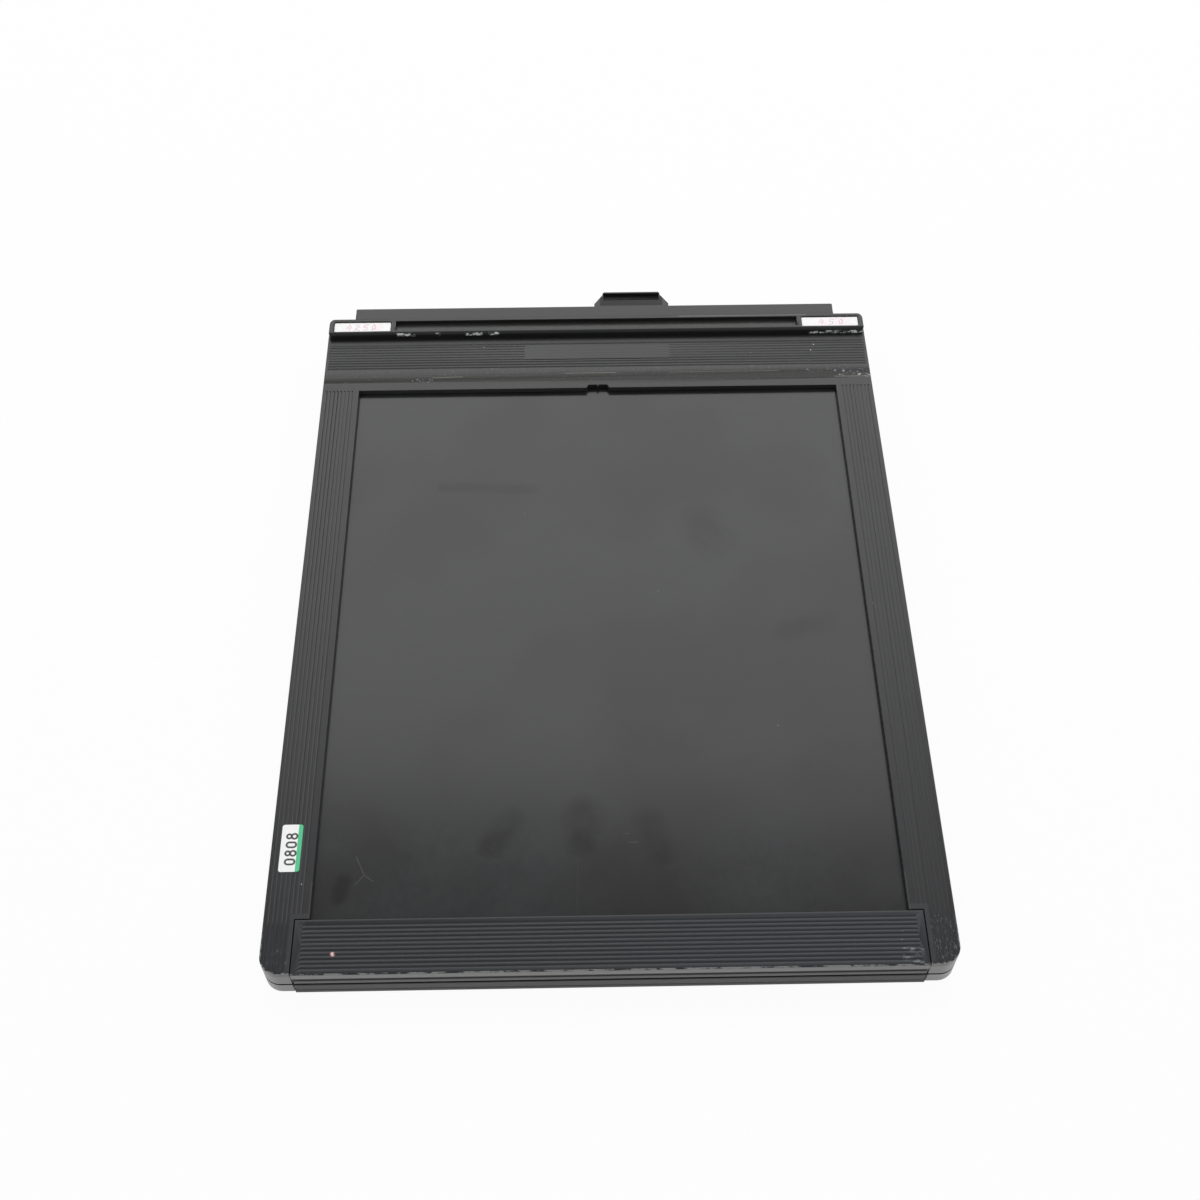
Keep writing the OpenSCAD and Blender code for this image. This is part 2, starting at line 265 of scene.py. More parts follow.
def band_group():
    """1 within Half of Centre along one coordinate, fading to 0 over Soft."""
    group, ins, outs = make_group(
        "band",
        [("Value", "NodeSocketFloat", 0), ("Centre", "NodeSocketFloat", 0),
         ("Half", "NodeSocketFloat", 0.001), ("Soft", "NodeSocketFloat", 0.0005)],
        [("Mask", "NodeSocketFloat")],
    )
    away = reckon(group, "ABSOLUTE", reckon(group, "SUBTRACT", ins["Value"], ins["Centre"]))
    past = reckon(group, "SUBTRACT", away, ins["Half"])
    faded = reckon(group, "DIVIDE", past, ins["Soft"])
    group.links.new(reckon(group, "SUBTRACT", 1.0, faded, clamp=True), outs["Mask"])
    return group


def flecks_group():
    """Broken patches that rubbing leaves, longer along one way than across."""
    group, ins, outs = make_group(
        "flecks",
        [("Place", "NodeSocketVector", None), ("Per metre", "NodeSocketFloat", 600),
         ("Stretch", "NodeSocketVector", (1, 1, 1)), ("Bare", "NodeSocketFloat", 0.55)],
        [("Mask", "NodeSocketFloat")],
    )
    edge_steepness = 14.0
    stretched = between(group, "MULTIPLY", ins["Place"], ins["Stretch"])
    patches = noise(group, stretched, ins["Per metre"], 5, 0.7)
    raised = reckon(group, "SUBTRACT", patches, ins["Bare"])
    mask = reckon(group, "MULTIPLY", raised, edge_steepness, clamp=True)
    group.links.new(mask, outs["Mask"])
    return group


def stroke_group():
    """1 on the line from Start to End, or on a ring of Radius round it."""
    group, ins, outs = make_group(
        "stroke",
        [("Place", "NodeSocketVector", None), ("Start", "NodeSocketVector", (0, 0, 0)),
         ("End", "NodeSocketVector", (0, 0, 0)), ("Radius", "NodeSocketFloat", 0),
         ("Width", "NodeSocketFloat", 0.0003)],
        [("Mask", "NodeSocketFloat")],
    )
    way = between(group, "SUBTRACT", ins["End"], ins["Start"])
    off = between(group, "SUBTRACT", ins["Place"], ins["Start"])
    along = between(group, "DOT_PRODUCT", off, way)
    whole = between(group, "DOT_PRODUCT", way, way)
    share = reckon(group, "DIVIDE", along, whole, clamp=True)
    foot = add(group, "ShaderNodeVectorMath", {0: way, "Scale": share}, operation="SCALE")
    gap = between(group, "DISTANCE", off, foot.outputs[0])
    away = reckon(group, "ABSOLUTE", reckon(group, "SUBTRACT", gap, ins["Radius"]))
    in_widths = reckon(group, "DIVIDE", away, ins["Width"])
    group.links.new(reckon(group, "SUBTRACT", 1.5, in_widths, clamp=True), outs["Mask"])
    return group


moulded_grain = moulded_grain_group()
specks = specks_group()
band = band_group()
flecks = flecks_group()
stroke = stroke_group()


def place_group(tree, group, **inputs):
    """The group's outputs in a material; names of inputs have _ for a space."""
    named = {key.replace("_", " "): value for key, value in inputs.items()}
    return add(tree, "ShaderNodeGroup", node_tree=group, inputs=named).outputs


def times(tree, *masks):
    """The product of several masks."""
    made = masks[0]
    for mask in masks[1:]:
        made = reckon(tree, "MULTIPLY", made, mask)
    return made


def most(tree, *masks):
    """The greatest of several masks."""
    made = masks[0]
    for mask in masks[1:]:
        made = reckon(tree, "MAXIMUM", made, mask)
    return made


def over(tree, mask, under, upper):
    """One colour or mask laid over another where a mask is 1."""
    mixed = add(tree, "ShaderNodeMix", {0: mask, 6: under, 7: upper}, data_type="RGBA")
    return mixed.outputs[2]


def laid(tree, under, tint, mask, share=1.0):
    """A tint laid over a colour through a mask, at a share of its strength."""
    strength = times(tree, mask, share) if share < 1 else mask
    return over(tree, strength, under, (*tint, 1))


def ramp(tree, value, low, high, to_low=0.0, to_high=1.0):
    """A value carried from one range to another, held at its ends."""
    return add(tree, "ShaderNodeMapRange", {
        "Value": value, "From Min": low, "From Max": high,
        "To Min": to_low, "To Max": to_high,
    }).outputs[0]


def plastic(tree, place, grains, dark, light):
    """The grain of a moulded or rolled plastic, and its colour between two tones."""
    grain = place_group(tree, moulded_grain, Place=place, Grains_per_metre=grains)
    spread = ramp(tree, grain["Tone"], 0.35, 0.65)
    return grain, over(tree, spread, (*dark, 1), (*light, 1))


def satin(tree, shader, grain, roughness, ior, depth):
    """Satin plastic: its gloss, and a grain of that depth in millimetres."""
    shader.inputs["IOR"].default_value = ior
    uneven = ramp(tree, grain["Tone"], 0.35, 0.65, roughness - 0.025, roughness + 0.025)
    tree.links.new(uneven, shader.inputs["Roughness"])
    bump = add(tree, "ShaderNodeBump", {
        "Height": grain["Height"], "Distance": depth * mm, "Strength": 0.5,
    })
    tree.links.new(bump.outputs[0], shader.inputs["Normal"])


def rubbed(tree, place, per_metre, bare, stretch=(1, 1, 1)):
    """Broken patches of rubbing, so many to the metre."""
    return place_group(
        tree, flecks, Place=place, Per_metre=per_metre, Stretch=stretch, Bare=bare
    )["Mask"]


def dusted(tree, place, colour, dust, cells, share, radius):
    """A colour with specks of dust scattered on it."""
    grains = place_group(
        tree, specks, Place=place, Cells_per_metre=cells, Share=share, Radius=radius
    )
    return laid(tree, colour, dust, grains["Mask"])


def reach(face, line):
    """How far a face goes from the line along one of its edges."""
    start = line.verts[0].co
    way = (line.verts[1].co - start).normalized()
    return max(
        (v.co - start - way * way.dot(v.co - start)).length for v in face.verts
    )


def rounded_copy(node, name, edge, material):
    """A copy of a CAD node with its outward edges rounded, in the node's place."""
    form = bmesh.new()
    form.from_mesh(frame["nodes"][node].data)
    bmesh.ops.remove_doubles(form, verts=form.verts, dist=1e-6)
    bmesh.ops.dissolve_limit(
        form, angle_limit=radians(0.5), verts=form.verts, edges=form.edges
    )
    outward = [
        line for line in form.edges
        if line.is_manifold and line.is_convex and line.calc_face_angle() > radians(50)
        and line.calc_length() > 1.2 * edge
        and min(reach(face, line) for face in line.link_faces) > 2 * edge
    ]
    bmesh.ops.triangulate(form, faces=form.faces)
    bmesh.ops.bevel(
        form, geom=outward, offset=edge, offset_type="OFFSET", segments=2,
        profile=0.5, affect="EDGES", clamp_overlap=False, material=-1,
    )
    for face in form.faces:
        face.smooth = True
    for line in form.edges:
        if line.is_manifold and line.calc_face_angle() > radians(46):
            line.smooth = False
    mesh = bpy.data.meshes.new(name)
    form.to_mesh(mesh)
    form.free()
    mesh.materials.append(material)
    piece = bpy.data.objects.new(name, mesh)
    bpy.context.collection.objects.link(piece)
    flat_first = piece.modifiers.new("flat_faces_first", "WEIGHTED_NORMAL")
    flat_first.keep_sharp = True
    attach(piece, body_of(node))
    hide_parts(node)


def body_of(node):
    """The name of the body that a CAD node rides on."""
    bodies = frame["record"]["behaviour"]["bodies"]
    return next(name for name, nodes in bodies.items() if node in nodes)


front_low, front_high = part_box("front_frame")
mid_z = (front_high.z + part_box("back_frame")[0].z) / 2
end_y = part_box("front_flap")[0].y

# Places on the holder are in millimetres: x across from the middle, y from the
# flap's end face, z above the middle of the thickness.
rail_face = 7.2
face_skin = (6.9, 7.4)
corner_radius = 6.6
corner_x = front_high.x / mm - corner_radius
corner_y = (front_low.y - end_y) / mm + corner_radius
rib_slope = {"y": (268.2, 270.9), "z": (7.35, 8.3)}
rib_top = {"y": (270.9, 275.1), "z": (8.2, 8.6)}
grip_plate = {"x": (-31.5, 31.5), "y": (281.2, 289.7), "z": (7.0, 7.4)}
bar_recess = {"x": (-88, 88), "y": (296.8, 302.1), "z": (8.2, 8.8)}
bar_foot = (293.6, 294.9)


def at(x, y, z=rail_face):
    """The point in the frame at a place in those millimetres."""
    return (x * mm, end_y + y * mm, mid_z + z * mm)


def within(tree, axes, soft, **spans):
    """1 inside spans of x, y or z in those millimetres, fading out over soft."""
    masks = []
    for value, name, start in zip(axes, "xyz", at(0, 0, 0)):
        if name in spans:
            low, high = spans[name]
            masks.append(place_group(
                tree, band, Value=value, Centre=start + (low + high) / 2 * mm,
                Half=(high - low) / 2 * mm, Soft=soft * mm,
            )["Mask"])
    return times(tree, *masks)


def along_y(tree, axes, low, high, to_low=0.0, to_high=1.0):
    """A value that changes from one distance off the flap end to another."""
    return ramp(tree, axes[1], at(0, low)[1], at(0, high)[1], to_low, to_high)


def below(tree, axes, top, bottom):
    """0 above one height, growing to 1 at a lower one."""
    return ramp(tree, axes[2], at(0, 0, top)[2], at(0, 0, bottom)[2])


def drawn(tree, place, width, *points, radius=0.0, share=1.0):
    """A line through points; a single point makes a dot or a ring."""
    pairs = list(zip(points, points[1:])) or [(points[0], points[0])]
    line = most(tree, *[
        place_group(
            tree, stroke, Place=place, Start=at(*start), End=at(*end),
            Width=width * mm, Radius=radius * mm,
        )["Mask"]
        for start, end in pairs
    ])
    return times(tree, line, share) if share < 1 else line


def outwards(tree, axes):
    """The same axes with x counted outwards on both sides."""
    return (reckon(tree, "ABSOLUTE", axes[0]), axes[1], axes[2])


def dust_and_groove_fill(tree, axes, colour):
    """Dust that thickens towards the head, most in the grooves and on the rib; the grooves'
    paleness is partly dust and partly painted fill light against their shade.
    """
    far = along_y(tree, axes, 10, 285, 0.0, 0.42)
    plate = within(tree, axes, 0.1, **grip_plate)
    crest = within(tree, axes, 0.3, **rib_top)
    slope = within(tree, axes, 0.2, **rib_slope)
    recess = within(tree, axes, 0.2, **bar_recess)
    # painted fill light, partly dust: the grooves are painted paler to even out their shade, more
    # so to the left
    grooves = times(
        tree, below(tree, axes, 7.06, 6.97), within(tree, axes, 2.0, y=(20, 264)), 0.9
    )
    dust_and_fill = most(
        tree, far, times(tree, plate, 0.4), times(tree, crest, 0.6), recess, slope, grooves
    )
    colour = laid(tree, colour, (0.030, 0.030, 0.030), dust_and_fill)
    colour = laid(tree, colour, (0.043, 0.043, 0.041), recess, 0.8)
    colour = laid(tree, colour, (0.050, 0.050, 0.048), slope, 0.8)
    leftwards = ramp(tree, axes[0], 50 * mm, -50 * mm, 0.0, 0.8)
    return laid(tree, colour, (0.050, 0.050, 0.051), times(tree, grooves, leftwards))


def rail_rubbing(tree, place, axes, colour):
    """Fine lengthwise rubbing near the flap, and pale edges round its pocket."""
    sides = outwards(tree, axes)
    on_rail = ramp(tree, sides[0], 101 * mm, 103 * mm)
    near = along_y(tree, axes, 110, 25, 0.0, 0.4)
    streaks = rubbed(tree, place, 2600, 0.54, stretch=(1, 0.03, 1))
    colour = laid(tree, colour, (0.026, 0.027, 0.030), times(tree, streaks, on_rail, near))
    border = most(
        tree,
        within(tree, sides, 0.3, x=(107.1, 108.3), y=(1.5, 22.2), z=face_skin),
        within(tree, sides, 0.3, x=(102.2, 108.3), y=(20.6, 22.2), z=face_skin),
    )
    colour = laid(tree, colour, (0.034, 0.035, 0.038), border, 0.7)
    window_edge = times(
        tree, ramp(tree, sides[0], 102.7 * mm, 102.2 * mm),
        within(tree, axes, 0.5, y=(20.3, 34), z=face_skin),
    )
    return laid(tree, colour, (0.045, 0.045, 0.047), window_edge, 0.7)


def end_wear_and_light(tree, place, axes, colour):
    """The halves' outer faces by the flaps, pale round both corners: partly rubbed, partly
    painted light, palest on the lower half and darker along the upper edge.
    """
    sides = outwards(tree, axes)
    past_x = reckon(tree, "MAXIMUM", reckon(tree, "SUBTRACT", sides[0], corner_x * mm), 0.0)
    past_y = reckon(tree, "MAXIMUM", reckon(tree, "SUBTRACT", at(0, corner_y)[1], axes[1]), 0.0)
    past = add(tree, "ShaderNodeCombineXYZ", {0: past_x, 1: past_y}).outputs[0]
    out = between(tree, "DISTANCE", past, (0, 0, 0))
    near = along_y(tree, axes, 20, 8)

    # painted light laid with wear on the end faces: paler on the lower half that the table
    # lights, darker on the upper edge; the seam is a dark joint
    upper_edge = within(tree, axes, 0.15, z=(4.9, 7.6))
    lower_half = within(tree, axes, 0.1, z=(-8, -1.7))
    seam = within(tree, axes, 0.1, z=(-1.95, -1.0))
    worn_and_lit = over(tree, upper_edge, (0.225, 0.226, 0.225, 1), (0.150, 0.150, 0.150, 1))
    worn_and_lit = laid(tree, worn_and_lit, (0.310, 0.312, 0.310), lower_half)
    worn_and_lit = laid(tree, worn_and_lit, (0.004, 0.004, 0.004), seam)
    skin = ramp(tree, out, (corner_radius - 0.14) * mm, (corner_radius - 0.06) * mm)
    colour = over(tree, times(tree, skin, near), colour, worn_and_lit)

    rim = ramp(tree, out, (corner_radius - 0.55) * mm, (corner_radius - 0.35) * mm)
    high = within(tree, axes, 0.1, z=(6.95, 7.4))
    chips = times(tree, rim, high, near, rubbed(tree, place, 800, 0.48))
    return laid(tree, colour, (0.36, 0.36, 0.36), chips, 0.7)


def knocks(tree, place, axes, colour):
    """White knocks at the foot of the head bar and along the rib."""
    foot_spans = ((-86.7, -80), (-70, -69.2), (-56.5, -50.7), (-46.4, -43.3), (94, 116))
    left_foot = within(tree, axes, 0.35, y=bar_foot, z=(9.0, 10.0))
    right_foot = within(tree, axes, 0.35, y=bar_foot, z=(7.7, 9.0))
    wall = over(tree, ramp(tree, axes[0], 20 * mm, 40 * mm), left_foot, right_foot)
    foot = times(
        tree, wall, most(tree, *[within(tree, axes, 1.0, x=span) for span in foot_spans])
    )
    right_rib = within(tree, axes, 0.4, x=(104, 118), y=(268.6, 269.8), z=(7.0, 8.6))
    right_crest = within(tree, axes, 0.6, x=(90, 117), y=(270.8, 271.8), z=(7.9, 8.6))
    left_rib = within(tree, axes, 0.4, x=(-80.6, -71), y=(268.5, 269.5), z=(7.0, 8.4))
    knocked = most(tree, foot, right_rib, times(tree, right_crest, 0.7), left_rib)
    fine = rubbed(tree, place, 1500, 0.54, stretch=(0.6, 1, 1))
    coarse = rubbed(tree, place, 420, 0.47, stretch=(0.8, 1, 1))
    colour = laid(tree, colour, (0.62, 0.65, 0.68), times(tree, knocked, fine, coarse))
    bright = rubbed(tree, place, 1100, 0.49, stretch=(0.5, 1, 1))
    return laid(tree, colour, (0.97, 0.98, 0.99), times(tree, foot, bright))


def scratches(tree, place, axes, colour):
    """Thin nicks, lines, scored rail ends and the larger single spots."""
    nicked = most(
        tree,
        within(tree, axes, 1.5, x=(-117.6, -109), y=(268.5, 273)),
        within(tree, axes, 1.5, x=(108, 117), y=(2, 18), z=(7, 7.4)),
        within(tree, axes, 0.6, y=(268, 276)),
        within(tree, axes, 0.5, **bar_recess),
    )
    nicks = times(tree, nicked, rubbed(tree, place, 1500, 0.6))
    colour = laid(tree, colour, (0.17, 0.165, 0.15), nicks, 0.8)

    rib_lines = most(
        tree,
        drawn(tree, place, 0.16, (-71, 270.1, 8.0), (-58, 270.4, 8.15)),
        drawn(tree, place, 0.16, (-14, 271.5, 8.4), (8, 271.6, 8.4)),
        drawn(tree, place, 0.14, (31, 271.4, 8.4), (78, 271.5, 8.4), share=0.7),
        drawn(tree, place, 0.22, (102, 268.7, 7.38), (117.2, 268.7, 7.38)),
    )
    colour = laid(tree, colour, (0.20, 0.19, 0.16), rib_lines, 0.8)
    bar_line = drawn(tree, place, 0.16, (36, 303.1, 10.5), (92, 303.1, 10.5))
    colour = laid(tree, colour, (0.15, 0.15, 0.15), bar_line, 0.9)

    right_end = within(tree, axes, 1.5, x=(109, 116), y=(3, 17), z=face_skin)
    left_end = within(tree, axes, 1.5, x=(-115, -108.5), y=(2.5, 9), z=face_skin)
    rail_ends = most(tree, right_end, times(tree, left_end, 0.5))
    scored = times(tree, rail_ends, rubbed(tree, place, 2300, 0.58, stretch=(1, 0.22, 1)))
    colour = laid(tree, colour, (0.17, 0.175, 0.19), scored, 0.8)

    spots = most(
        tree,
        drawn(tree, place, 0.28, (94.5, 288.1)),
        drawn(tree, place, 0.28, (93.0, 284.8)),
        drawn(tree, place, 0.26, (-49.2, 288.9)),
        drawn(tree, place, 0.24, (-105.7, 33.3)),
    )
    return laid(tree, colour, (0.45, 0.45, 0.44), spots)


def moulding_material():
    """Black-grey styrene with its dust, rubbing, knocks and scratches, and painted light on its
    end faces and in its grooves.
    """
    material, tree, shader = new_material("moulded_black_grey")
    place = own_coordinates(tree)
    axes = split(tree, place)
    grain, colour = plastic(
        tree, place, 2600, (0.0080, 0.0090, 0.0110), (0.0120, 0.0130, 0.0150)
    )
    colour = dust_and_groove_fill(tree, axes, colour)
    colour = rail_rubbing(tree, place, axes, colour)
    colour = end_wear_and_light(tree, place, axes, colour)
    colour = knocks(tree, place, axes, colour)
    colour = scratches(tree, place, axes, colour)
    colour = dusted(tree, place, colour, (0.15, 0.15, 0.145), 240, 0.22, 0.07)
    tree.links.new(colour, shader.inputs["Base Color"])
    satin(tree, shader, grain, 0.34, 1.388, 0.008)
    return material


moulding = moulding_material()
rounded_copy("front_frame", "front_moulding", 0.18 * mm, moulding)
rounded_copy("back_frame", "back_moulding", 0.18 * mm, moulding)


# ---------------------------------------------------------------- loading flaps
# A ribbed bar of the same plastic closes each side's loading end. It swings on
# cloth tape at its outer edge, whose face is pale partly from rubbing and partly as painted
# light.
def flap_material():
    """The halves' plastic, cleaner and bluer where hands hold it."""
    material, tree, shader = new_material("moulded_flap")
    place = own_coordinates(tree)
    axes = split(tree, place)
    grain, colour = plastic(
        tree, place, 2600, (0.0080, 0.0090, 0.0115), (0.0125, 0.0135, 0.0165)
    )
    # painted fill light, partly dust: the grooves are painted paler against their shade; the rib
    # ends are dusty
    grooves = times(
        tree, below(tree, axes, 7.15, 7.0), within(tree, axes, 0.3, y=(2.0, 19.5))
    )
    rib_ends = within(tree, outwards(tree, axes), 0.5, x=(103.6, 107), z=face_skin)
    dust_and_fill = most(tree, grooves, times(tree, rib_ends, 0.5))
    colour = laid(tree, colour, (0.033, 0.034, 0.037), dust_and_fill)
    handled = ramp(tree, axes[0], -60 * mm, 95 * mm, 0.0, 0.6)
    colour = laid(tree, colour, (0.016, 0.020, 0.027), handled)

    # the end face above the tape, pale partly from rubbing and partly as painted light, its
    # jagged upper lip, and the far edge
    end_face_worn_and_lit = within(tree, axes, 0.15, y=(-0.5, 0.1), z=(4.2, 6.85))
    jagged = rubbed(tree, place, 700, 0.46, stretch=(0.35, 1, 1))
    lip = times(tree, within(tree, axes, 0.25, y=(-0.5, 0.35), z=(6.6, 7.4)), jagged)
    colour = laid(tree, colour, (0.260, 0.261, 0.258), most(tree, end_face_worn_and_lit, lip))
    far_edge = within(tree, axes, 0.15, y=(19.5, 20.2), z=face_skin)
    colour = laid(tree, colour, (0.050, 0.050, 0.052), far_edge, 0.8)

    # nicks and dots at the right end, and a chipped dab of red paint at the left
    nicked = within(tree, axes, 1.2, x=(98.5, 104.5), y=(1.2, 6.5), z=face_skin)
    nicks = most(
        tree,
        times(tree, nicked, rubbed(tree, place, 1500, 0.55, stretch=(0.3, 1, 1))),
        drawn(tree, place, 0.16, (98.4, 6.2), (98.6, 6.6)),
        drawn(tree, place, 0.16, (98.2, 9.3)),
        drawn(tree, place, 0.16, (98.7, 12.4)),
    )
    colour = laid(tree, colour, (0.22, 0.23, 0.25), nicks, 0.8)
    dab = drawn(tree, place, 0.66, (-93.0, 7.4))
    chip = drawn(tree, place, 0.40, (-92.35, 7.6))
    colour = laid(tree, colour, (0.98, 0.62, 0.60), dab)
    colour = laid(tree, colour, (0.05, 0.014, 0.016), chip)
    colour = dusted(tree, place, colour, (0.10, 0.10, 0.10), 150, 0.3, 0.035)
    tree.links.new(colour, shader.inputs["Base Color"])
    satin(tree, shader, grain, 0.48, 1.43, 0.008)
    return material


flap_plastic = flap_material()
rounded_copy("front_flap", "front_flap_moulding", 0.15 * mm, flap_plastic)
rounded_copy("back_flap", "back_flap_moulding", 0.15 * mm, flap_plastic)


# ---------------------------------------------------------------- cloth tape
# Black book cloth rubbed grey and painted paler still as light: a strip on each flap's end face,
# and a fold over the septum's end that they bend against.
def cloth_material():
    """Plain-woven cloth, rubbed grey and painted paler as light; paler on the front flap's tape
    than on the back one's, as painted light.
    """
    material, tree, shader = new_material("black_book_cloth")
    place = own_coordinates(tree)
    threads = [
        add(tree, "ShaderNodeTexWave", {
            "Vector": place, "Scale": 900, "Distortion": 1.5,
        }, bands_direction=direction).outputs["Fac"]
        for direction in "XZ"
    ]
    weave = times(tree, *threads)
    z = split(tree, place)[2]
    # painted light: the front tape is painted lighter than the back one, and both paler than the
    # cloth's own black
    front = ramp(tree, z, mid_z - 0.5 * mm, mid_z + 0.3 * mm)
    deep = over(tree, front, (0.120, 0.120, 0.120, 1), (0.185, 0.185, 0.183, 1))
    raised = over(tree, front, (0.180, 0.180, 0.178, 1), (0.250, 0.250, 0.247, 1))
    tree.links.new(over(tree, weave, deep, raised), shader.inputs["Base Color"])
    shader.inputs["Roughness"].default_value = 0.75
    bump = add(tree, "ShaderNodeBump", {"Height": weave, "Distance": 0.05 * mm})
    tree.links.new(bump.outputs[0], shader.inputs["Normal"])
    return material


def dress(node, material):
    """A CAD node that is right as it is gets its finish."""
    mesh = frame["nodes"][node].data
    mesh.materials.clear()
    mesh.materials.append(material)


cloth = cloth_material()
for node in ("front_flap_tape", "back_flap_tape", "flap_hinge_cloth"):
    dress(node, cloth)


# ---------------------------------------------------------------- dark slides
# A satin sheet of dark laminate with cut edges. The front one has finger marks,
# smudges, dust, and a forked scratch near the flap.
def slide_material():
    """Dark laminate; its marks lie on the front slide's upper face alone."""
    material, tree, shader = new_material("satin_dark_sheet")
    place = own_coordinates(tree)
    top = (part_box("front_dark_slide")[1].z - mid_z) / mm
    grain, colour = plastic(
        tree, place, 4200, (0.0225, 0.0235, 0.0250), (0.0275, 0.0285, 0.0300)
    )
    smudge = ramp(tree, noise(tree, place, 14), 0.44, 0.62)
    colour = laid(tree, colour, (0.0180, 0.0180, 0.0175), smudge)

    # width, strength, and the two ends of each touch of a hand
    touches = (
        (6.2, 1.0, (-8.0, 60.0, top), (-8.6, 57, top)),
        (4.4, 1.0, (-8.6, 58, top), (-9.6, 48, top)),
        (4.2, 0.8, (-34.5, 58, top), (-41, 48, top)),
        (4.6, 0.9, (14.5, 58, top), (18.6, 45, top)),
        (4.0, 1.0, (70.0, 138, top), (86.0, 142, top)),
        (8.0, 0.7, (41.0, 191, top), (44.0, 183, top)),
        (2.4, 1.0, (-64.0, 211.6, top), (-28.0, 210, top)),
    )
    touched = most(tree, *[
        drawn(tree, place, width, start, end, share=share)
        for width, share, start, end in touches
    ])
    patchy = ramp(tree, noise(tree, place, 90, 4, 0.65), 0.36, 0.60, 0.45, 1.0)
    colour = laid(tree, colour, (0.0090, 0.0090, 0.0085), times(tree, touched, patchy))
    thumb = drawn(tree, place, 2.5, (-91.9, 35.4, top), (-93.1, 29.0, top))
    colour = laid(tree, colour, (0.006, 0.006, 0.006), thumb, 0.7)

    fork = (-84.7, 37.5, top)
    scratched = most(
        tree,
        drawn(tree, place, 0.14, (-88.0, 44.5, top), fork, (-87.7, 33.9, top)),
        drawn(tree, place, 0.14, fork, (-81.5, 35.0, top)),
        drawn(tree, place, 0.16, (7.5, 48.6, top), (10.5, 48.6, top), share=0.7),
        drawn(tree, place, 0.16, (5.6, 52.3, top), (7.8, 52.0, top), share=0.5),
        drawn(tree, place, 0.16, (-10.6, 45, top), (-11.0, 20, top), share=0.15),
    )
    colour = laid(tree, colour, (0.075, 0.075, 0.073), scratched, 0.8)
    colour = dusted(tree, place, colour, (0.16, 0.16, 0.16), 95, 0.35, 0.022)
    tree.links.new(colour, shader.inputs["Base Color"])
    satin(tree, shader, grain, 0.18, 1.365, 0.0006)
    return material


laminate = slide_material()
rounded_copy("front_dark_slide", "front_slide_sheet", 0.1 * mm, laminate)
rounded_copy("back_dark_slide", "back_slide_sheet", 0.1 * mm, laminate)


# ---------------------------------------------------------------- slide handles
# A moulded bar cemented along each slide's end, with a finger tab off its
# middle that has a raised lip to pull on.
def handle_material():
    """The same plastic, with painted shade in the front tab's finger hollow: a darker colour and
    a weaker reflection.
    """
    material, tree, shader = new_material("moulded_handle")
    place = own_coordinates(tree)
    axes = split(tree, place)
    grain, colour = plastic(
        tree, place, 2600, (0.0100, 0.0102, 0.0108), (0.0150, 0.0152, 0.0158)
    )
    # painted shade in the tab's finger hollow: a darker colour here, and a weaker reflection
    # below
    hollow = within(tree, axes, 0.6, x=(1.5, 29.5), y=(311.5, 317.0))
    colour = laid(tree, colour, (0.006, 0.006, 0.006), hollow, 0.8)
    colour = dusted(tree, place, colour, (0.11, 0.11, 0.11), 150, 0.3, 0.035)
    tree.links.new(colour, shader.inputs["Base Color"])
    satin(tree, shader, grain, 0.30, 1.385, 0.008)
    painted_hollow_shade = within(tree, axes, 0.4, x=(2.0, 29.2), y=(311.7, 317.0))
    shade_dulled_reflection = ramp(tree, painted_hollow_shade, 0.0, 1.0, 0.5, 0.25)
    tree.links.new(shade_dulled_reflection, shader.inputs["Specular IOR Level"])
    return material


handle_plastic = handle_material()
rounded_copy("front_slide_handle", "front_handle_bar", 0.25 * mm, handle_plastic)
rounded_copy("back_slide_handle", "back_handle_bar", 0.25 * mm, handle_plastic)


# ---------------------------------------------------------------- septum and guides
# Black anodised sheet between the halves, with a folded strip down each side
# that holds the film's edges.
def anodised_material():
    """Black anodised aluminium with the lengthwise lines of its rolling."""
    material, tree, shader = new_material("black_anodised")
    lengthwise = between(tree, "MULTIPLY", own_coordinates(tree), (1.0, 0.03, 1.0))
    rolled = noise(tree, lengthwise, 1800)
    colour = over(tree, rolled, (0.018, 0.018, 0.02, 1), (0.034, 0.034, 0.037, 1))
    tree.links.new(colour, shader.inputs["Base Color"])
    shader.inputs["Metallic"].default_value = 0.3
    shader.inputs["Roughness"].default_value = 0.55
    return material


anodised = anodised_material()
dress("septum", anodised)
for side in ("front", "back"):
    for edge in ("left", "right"):
        dress(f"{side}_{edge}_film_guide", anodised)


# ---------------------------------------------------------------- light traps
# Plush strips above and below each slide in the head, the outer one pressed
# by a bowed bronze strip.
def plush_material():
    """Short black pile."""
    material, tree, shader = new_material("black_plush")
    pile = noise(tree, own_coordinates(tree), 4000)
    colour = over(tree, pile, (0.004, 0.004, 0.004, 1), (0.02, 0.02, 0.021, 1))
    tree.links.new(colour, shader.inputs["Base Color"])
    shader.inputs["Roughness"].default_value = 0.95
    bump = add(tree, "ShaderNodeBump", {"Height": pile, "Distance": 0.2 * mm})
    tree.links.new(bump.outputs[0], shader.inputs["Normal"])
    return material


def bronze_material():
    """Spring bronze, tarnished in patches."""
    material, tree, shader = new_material("spring_bronze")
    tarnish = noise(tree, own_coordinates(tree), 300, 4)
    colour = over(tree, tarnish, (0.30, 0.19, 0.08, 1), (0.46, 0.31, 0.14, 1))
    tree.links.new(colour, shader.inputs["Base Color"])
    shader.inputs["Metallic"].default_value = 1
    shader.inputs["Roughness"].default_value = 0.35
    return material


plush = plush_material()
bronze = bronze_material()
for side in ("front", "back"):
    dress(f"{side}_outer_felt", plush)
    dress(f"{side}_inner_felt", plush)
    dress(f"{side}_trap_spring", bronze)


